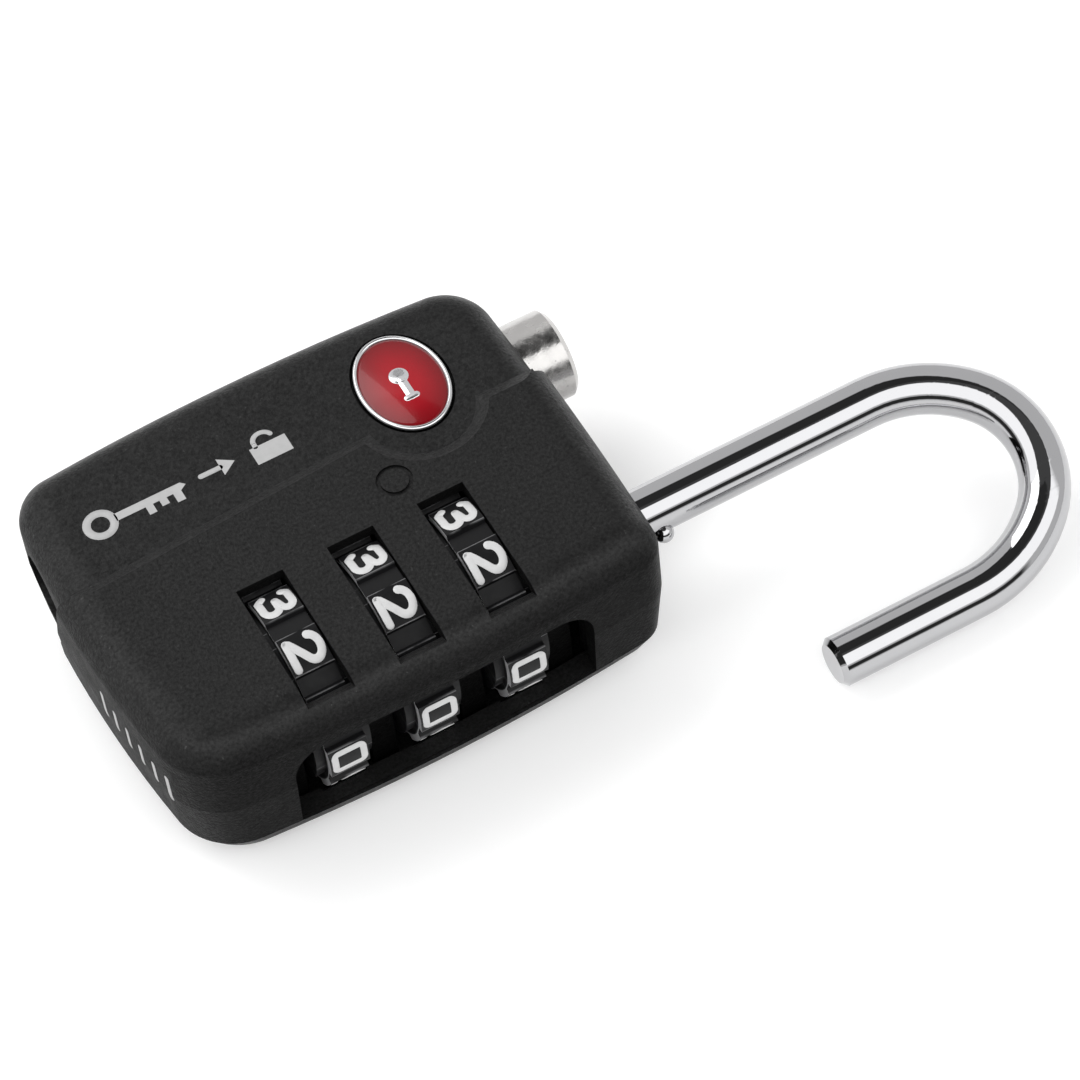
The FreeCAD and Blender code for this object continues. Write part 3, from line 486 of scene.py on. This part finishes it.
def join_strokes(parts):
    """Several strokes as one list of points and faces."""
    verts, faces = [], []
    for part_verts, part_faces in parts:
        offset = len(verts)
        verts += part_verts
        faces += [tuple(index + offset for index in face) for face in part_faces]
    return verts, faces


def rounded_loop(half_wide, half_high, radius):
    """A closed rounded rectangle."""
    points = []
    for x, y, start in ((1, 1, 0), (-1, 1, 90), (-1, -1, 180), (1, -1, 270)):
        centre = (x * (half_wide - radius), y * (half_high - radius))
        points += arc(centre, (radius, radius), start, start + 90, 6)
    return points + points[:1]


def digit_paths():
    """Each digit as open or closed strokes in millimetres, u to the right and v up."""
    nine = [arc((0.0, 0.32), (0.64, 0.52), 0, 360, 28),
            arc((-0.30, 0.16), (0.94, 1.00), -2, -72, 12)]
    six = [[Vector((-point.x, -point.y)) for point in path] for path in nine]
    return (
        [rounded_loop(0.66, 0.82, 0.24)],
        [[(-0.42, 0.42), (0.12, 0.84), (0.12, -0.84)]],
        [arc((-0.02, 0.36), (0.64, 0.48), 172, -38) + [Vector((-0.54, -0.66)), Vector((-0.60, -0.80))],
         [(-0.60, -0.80), (0.74, -0.80)]],
        [[(-0.62, 0.56), (-0.44, 0.80)] + arc((0.28, 0.48), (0.34, 0.33), 86, -78, 10)
         + [Vector((-0.14, 0.02))],
         [(-0.14, 0.02)] + arc((0.32, -0.40), (0.38, 0.42), 72, -86, 10)
         + [Vector((-0.46, -0.82)), Vector((-0.68, -0.52))]],
        [[(0.30, 0.84), (-0.74, -0.38), (0.76, -0.38)], [(0.34, 0.18), (0.34, -0.84)]],
        [[(0.60, 0.84), (-0.54, 0.84), (-0.60, 0.10)],
         [(-0.60, 0.10)] + arc((-0.04, -0.30), (0.70, 0.54), 126, -150)],
        six,
        [[(-0.68, 0.84), (0.68, 0.84), (-0.16, -0.84)]],
        [arc((0.0, 0.43), (0.52, 0.41), 0, 360, 24), arc((0.0, -0.41), (0.66, 0.43), 0, 360, 24)],
        nine,
    )


def digit(dial_node, number, paths, ink):
    """One printed digit on a dial, wrapped round its band."""
    along = centre_of(dial_node).x + DIGIT_SHIFT
    base = math.tau * number / DIAL_DIGITS
    half = DIGIT_HALF_STROKE if number else ZERO_HALF_STROKE

    def put(right, up, height):
        angle = base - right * DIGIT_WIDEN * MM / DIAL_RADIUS
        reach = DIAL_RADIUS - 0.01 * MM + height * MM
        return Vector((along + up * DIGIT_STRETCH * MM, DIAL_AXIS.y - reach * math.cos(angle),
                       DIAL_AXIS.z + reach * math.sin(angle)))

    parts = []
    for path in paths:
        closed = (Vector(path[0]) - Vector(path[-1])).length < SAME_POINT
        parts.append(stroke(path, half, 0.05, put, closed))
    verts, faces = join_strokes(parts)
    mesh_object("%s_digit_%d" % (dial_node, number), verts, faces, ink, dial_node, "dial")


def digits():
    """Ten digits on each dial."""
    ink = print_ink("finish_digits", 0.50, 0.60)
    for dial_node in DIALS:
        for number, paths in enumerate(digit_paths()):
            digit(dial_node, number, paths, ink)


def filled(points, lift, put):
    """A flat filled patch from its outline."""
    verts = [put(*point, lift) for point in points]
    return verts, [tuple(range(len(verts)))]


def key_print():
    """Printed on the key strip: a key, an arrow and an open padlock."""
    ink = print_ink("finish_print", 0.34, 0.42)
    start, across, lift = SHELL_LOW.x + 3.3 * MM, 5.75 * MM, 0.018

    def put(right, up, height):
        return Vector((start + right * MM, across + up * MM, STRIP_TOP - 0.003 * MM + height * MM))

    def line(path, half, closed=False):
        return stroke(path, half, lift, put, closed, soft=0.01)

    blade = ((1.95, 0.26), (1.95, -0.26), (3.7, -0.26), (3.7, -0.86), (4.15, -0.86), (4.15, -0.26),
             (4.55, -0.26), (4.55, -0.70), (5.0, -0.70), (5.0, -0.26), (5.4, -0.26), (5.4, -0.92),
             (5.9, -0.92), (5.9, -0.26), (6.3, 0.0), (6.05, 0.26))
    key = [line(arc((1.05, 0.0), (0.78, 0.78), 0, 360, 32), 0.24, True), filled(blade, lift, put)]
    head = ((8.45, 0.62), (8.45, -0.62), (9.35, 0.0))
    arrow = [line([(7.25, 0.0), (8.45, 0.0)], 0.17), filled(head, lift, put)]
    case = ((10.35, 0.20), (10.35, -1.0), (12.55, -1.0), (12.55, 0.20))
    bow = [(10.75, 0.20), (10.75, 0.45)] + arc((11.33, 0.45), (0.58, 0.52), 180, 20, 14)
    lock = [filled(case, lift, put), line(bow, 0.15)]
    verts, faces = join_strokes(key + arrow + lock)
    mesh_object("key_print", verts, faces, ink, "root", "shell")


def index_bars():
    """Six printed index bars on the end wall by the keyhole, laid on the shell's own surface.
    The first and the last are longer."""
    ink = print_ink("finish_index", 0.34, 0.42)
    shell = NODES["front_shell"]
    skin = BVHTree.FromObject(shell, bpy.context.evaluated_depsgraph_get())
    to_shell = shell.matrix_world.inverted()

    def put(right, up, height):
        outside = Vector((SHELL_LOW.x - 5 * MM, right * MM, up * MM))
        hit = skin.ray_cast(to_shell @ outside, Vector((1, 0, 0)))[0]
        return shell.matrix_world @ hit - Vector((height * MM, 0, 0))

    first, gap, height = -1.9, 1.35, 7.0
    bars = []
    for number in range(6):
        side = first - gap * number
        reach = 1.05 if number % 5 == 0 else 0.8
        bars.append(stroke([(side, height - reach), (side, height + reach)], 0.16, 0.012, put, soft=0.01))
    verts, faces = join_strokes(bars)
    mesh_object("index_bars", verts, faces, ink, "root", "shell")


def oval_ring(middle, half_x, half_y, height):
    """Points round a level oval."""
    angles = (math.tau * step / OVAL_STEPS for step in range(OVAL_STEPS))
    return [Vector((middle.x + half_x * math.cos(a), middle.y + half_y * math.sin(a), height))
            for a in angles]


def oval_skin(rings, closed=False):
    """Faces between rings. A closed skin also joins the last ring to the first."""
    verts = [point for ring in rings for point in ring]
    faces = []
    for index in range(len(rings) if closed else len(rings) - 1):
        here, following = index * OVAL_STEPS, (index + 1) % len(rings) * OVAL_STEPS
        for step in range(OVAL_STEPS):
            after = (step + 1) % OVAL_STEPS
            faces.append((here + step, here + after, following + after, following + step))
    return verts, faces


def badge_bezel(low, high):
    """A rounded bright rim, of round section."""
    middle, half, tall = (low + high) / 2, (high - low) / 2, high.z - low.z
    rings = []
    for step in range(BEZEL_STEPS):
        angle = math.tau * step / BEZEL_STEPS
        inset = BEZEL_WIDTH / 2 - BEZEL_WIDTH / 2 * math.cos(angle)
        height = low.z + tall * (0.5 + 0.5 * math.sin(angle))
        rings.append(oval_ring(middle, half.x - inset, half.y - inset, height))
    bright = chrome("finish_bezel", (), (0.62, 0.62, 0.63), 0.10, 0.22)
    piece = mesh_object("badge_bezel", *oval_skin(rings, True), bright, "root", "bright")
    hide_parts("badge_rim")


def badge_dome(low, middle, inner_x, inner_y, edge):
    """A domed oval of enamel."""
    rings = [oval_ring(middle, inner_x, inner_y, low.z + 0.1 * MM)]
    for index in range(DOME_RINGS):
        share = 1 - index / DOME_RINGS
        rings.append(oval_ring(middle, inner_x * share, inner_y * share,
                               edge + DOME_CROWN * (1 - share ** 2)))
    verts, faces = oval_skin(rings)
    verts.append(Vector((middle.x, middle.y, edge + DOME_CROWN)))
    last = (len(rings) - 1) * OVAL_STEPS
    faces += [(last + step, last + (step + 1) % OVAL_STEPS, len(verts) - 1)
              for step in range(OVAL_STEPS)]
    piece = mesh_object("badge_dome", verts, faces, enamel(), "root", "enamel")
    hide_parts("badge_enamel")


def badge_keyhole_mark(middle, inner_x, inner_y, edge):
    """A raised keyhole that follows the dome."""

    def put(right, up, height):
        x, y = right * MM, up * MM
        share = (x / inner_x) ** 2 + (y / inner_y) ** 2
        return Vector((middle.x + x, middle.y + y, edge + DOME_CROWN * (1 - share) + height * MM))

    hole = stroke(arc((0.0, 0.42), (0.27, 0.27), 0, 360, 24), 0.30, 0.03, put, True, soft=0.04)
    leg = stroke([(0.0, 0.10), (0.0, -1.15)], 0.27, 0.031, put, soft=0.04)
    foot = stroke([(-0.28, -1.20), (0.28, -1.20)], 0.20, 0.032, put, soft=0.04)
    bright = chrome("finish_mark", (), (0.66, 0.66, 0.67), 0.22, 0.34)
    piece = mesh_object("badge_keyhole_mark", *join_strokes([hole, leg, foot]), bright, "root", "bright")
    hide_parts("badge_keyhole")


def badge():
    """Rim, enamel and keyhole in place of the CAD's plain ones."""
    low, high = (Vector(corner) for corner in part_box("badge_rim"))
    middle = (low + high) / 2
    inner_x = (high.x - low.x) / 2 - BEZEL_WIDTH * BEZEL_OVERLAP
    inner_y = (high.y - low.y) / 2 - BEZEL_WIDTH * BEZEL_OVERLAP
    edge = high.z - DOME_DROP
    badge_bezel(low, high)
    badge_dome(low, middle, inner_x, inner_y, edge)
    badge_keyhole_mark(middle, inner_x, inner_y, edge)


def springs():
    """Coils in place of the CAD springs."""
    for node, (joint, travel) in SPRINGS.items():
        low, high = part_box(node)
        piece = bpy.data.objects.new(node + "_coil", NODES[node].data.copy())
        piece.matrix_world = NODES[node].matrix_world.copy()
        SCENE.collection.objects.link(piece)
        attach(piece, "root")
        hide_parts(node)
        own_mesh(piece)


def shade_smooth():
    """Smooth shading on the pieces made here."""
    for piece in SCENE.objects:
        if piece.type == "MESH" and piece.name not in NODES:
            for face in piece.data.polygons:
                face.use_smooth = True


# ---------------------------------------------------------------- studio

def floor():
    """A plain white sweep under the padlock."""
    made, tree, shader = material("finish_floor")
    shader.inputs["Base Color"].default_value = (0.85, 0.85, 0.85, 1)
    shader.inputs["Roughness"].default_value = 0.9
    shader.inputs["Specular IOR Level"].default_value = 0.1
    shader.inputs["Emission Color"].default_value = (1, 1, 1, 1)
    shader.inputs["Emission Strength"].default_value = 0.22
    mesh = bpy.data.meshes.new("floor")
    half, height = 1.5, -0.05 * MM
    corners = ((-half, -half), (half, -half), (half, half), (-half, half))
    mesh.from_pydata([(x, y, height) for x, y in corners], [], [(0, 1, 2, 3)])
    mesh.materials.append(made)
    plane = bpy.data.objects.new("floor", mesh)
    SCENE.collection.objects.link(plane)


def towards(tree, direction, aim):
    """How far a direction points towards an aim, from -1 to 1."""
    made = add(tree, "ShaderNodeVectorMath", operation="DOT_PRODUCT")
    tree.links.new(direction, made.inputs[0])
    made.inputs[1].default_value = aim
    return made.outputs["Value"]


def world():
    """A light tent: pale walls, a wide soft box on the near side, dark gaps low down and overhead."""
    wall, soft_box, dark = 0.85, 2.0, 0.05
    tent = bpy.data.worlds.new("tent")
    tent.use_nodes = True
    SCENE.world = tent
    tree = tent.node_tree
    direction = add(tree, "ShaderNodeTexCoord").outputs["Generated"]
    up = towards(tree, direction, (0, 0, 1))
    # A little over 1, so that the level part isn't 0 straight up.
    level_part = maths(tree, "SQRT", less(tree, 1.001, times(tree, up, up)))
    nearness = maths(tree, "DIVIDE", towards(tree, direction, (-0.574, -0.819, 0)), level_part)
    box = times(tree, span(tree, up, 0.42, 0.46, 0.0, 1.0), span(tree, nearness, -0.21, -0.13, 0.0, 1.0))
    low_gap = times(tree, span(tree, up, 0.05, 0.09, 0.0, 1.0), span(tree, up, 0.32, 0.36, 1.0, 0.0))
    gap = times(tree, low_gap, span(tree, nearness, 0.25, 0.35, 0.0, 1.0))
    tilt = math.radians(5.5)
    overhead = towards(tree, direction, (0, math.sin(tilt), math.cos(tilt)))
    port = span(tree, overhead, 0.880, 0.894, 0.0, 1.0)
    bright = plus(tree, wall, times(tree, box, soft_box - wall))
    shut = times(tree, maths(tree, "MAXIMUM", gap, port), 1 - dark)
    level = times(tree, bright, less(tree, 1.0, shut))
    tree.links.new(level, tree.nodes["Background"].inputs["Color"])


def area_light(name, place_at, target, size, power):
    """A square soft light aimed at a point."""
    data = bpy.data.lights.new(name, "AREA")
    data.size = size
    data.energy = power
    lamp = bpy.data.objects.new(name, data)
    way = (Vector(target) - Vector(place_at)).normalized()
    lamp.matrix_world = Matrix.Translation(place_at) @ way.to_track_quat("-Z", "Y").to_matrix().to_4x4()
    SCENE.collection.objects.link(lamp)


def camera():
    """The view from above the near left, with a long lens."""
    data = bpy.data.cameras.new("camera")
    data.lens = 151.4
    data.sensor_width = 36.0
    data.clip_start = 0.01
    seen = bpy.data.objects.new("camera", data)
    position = (-0.04637, -0.13867, 0.21402)
    right = Vector((0.87408, -0.48058, -0.07089))
    up = Vector((0.43081, 0.69945, 0.57023))
    back = right.cross(up)
    turn = Matrix((right, up, back)).transposed().to_4x4()
    seen.matrix_world = Matrix.Translation(position) @ turn
    SCENE.collection.objects.link(seen)
    SCENE.camera = seen


def studio():
    """Floor, light and camera."""
    floor()
    world()
    area_light("key_light", (-0.12, 0.30, 0.45), (0, 0, 0), 0.35, 1.2)
    camera()
    SCENE.view_settings.view_transform = "Standard"


# ---------------------------------------------------------------- the picture

finish_nodes()
digits()
key_print()
index_bars()
badge()
springs()
shade_smooth()
studio()
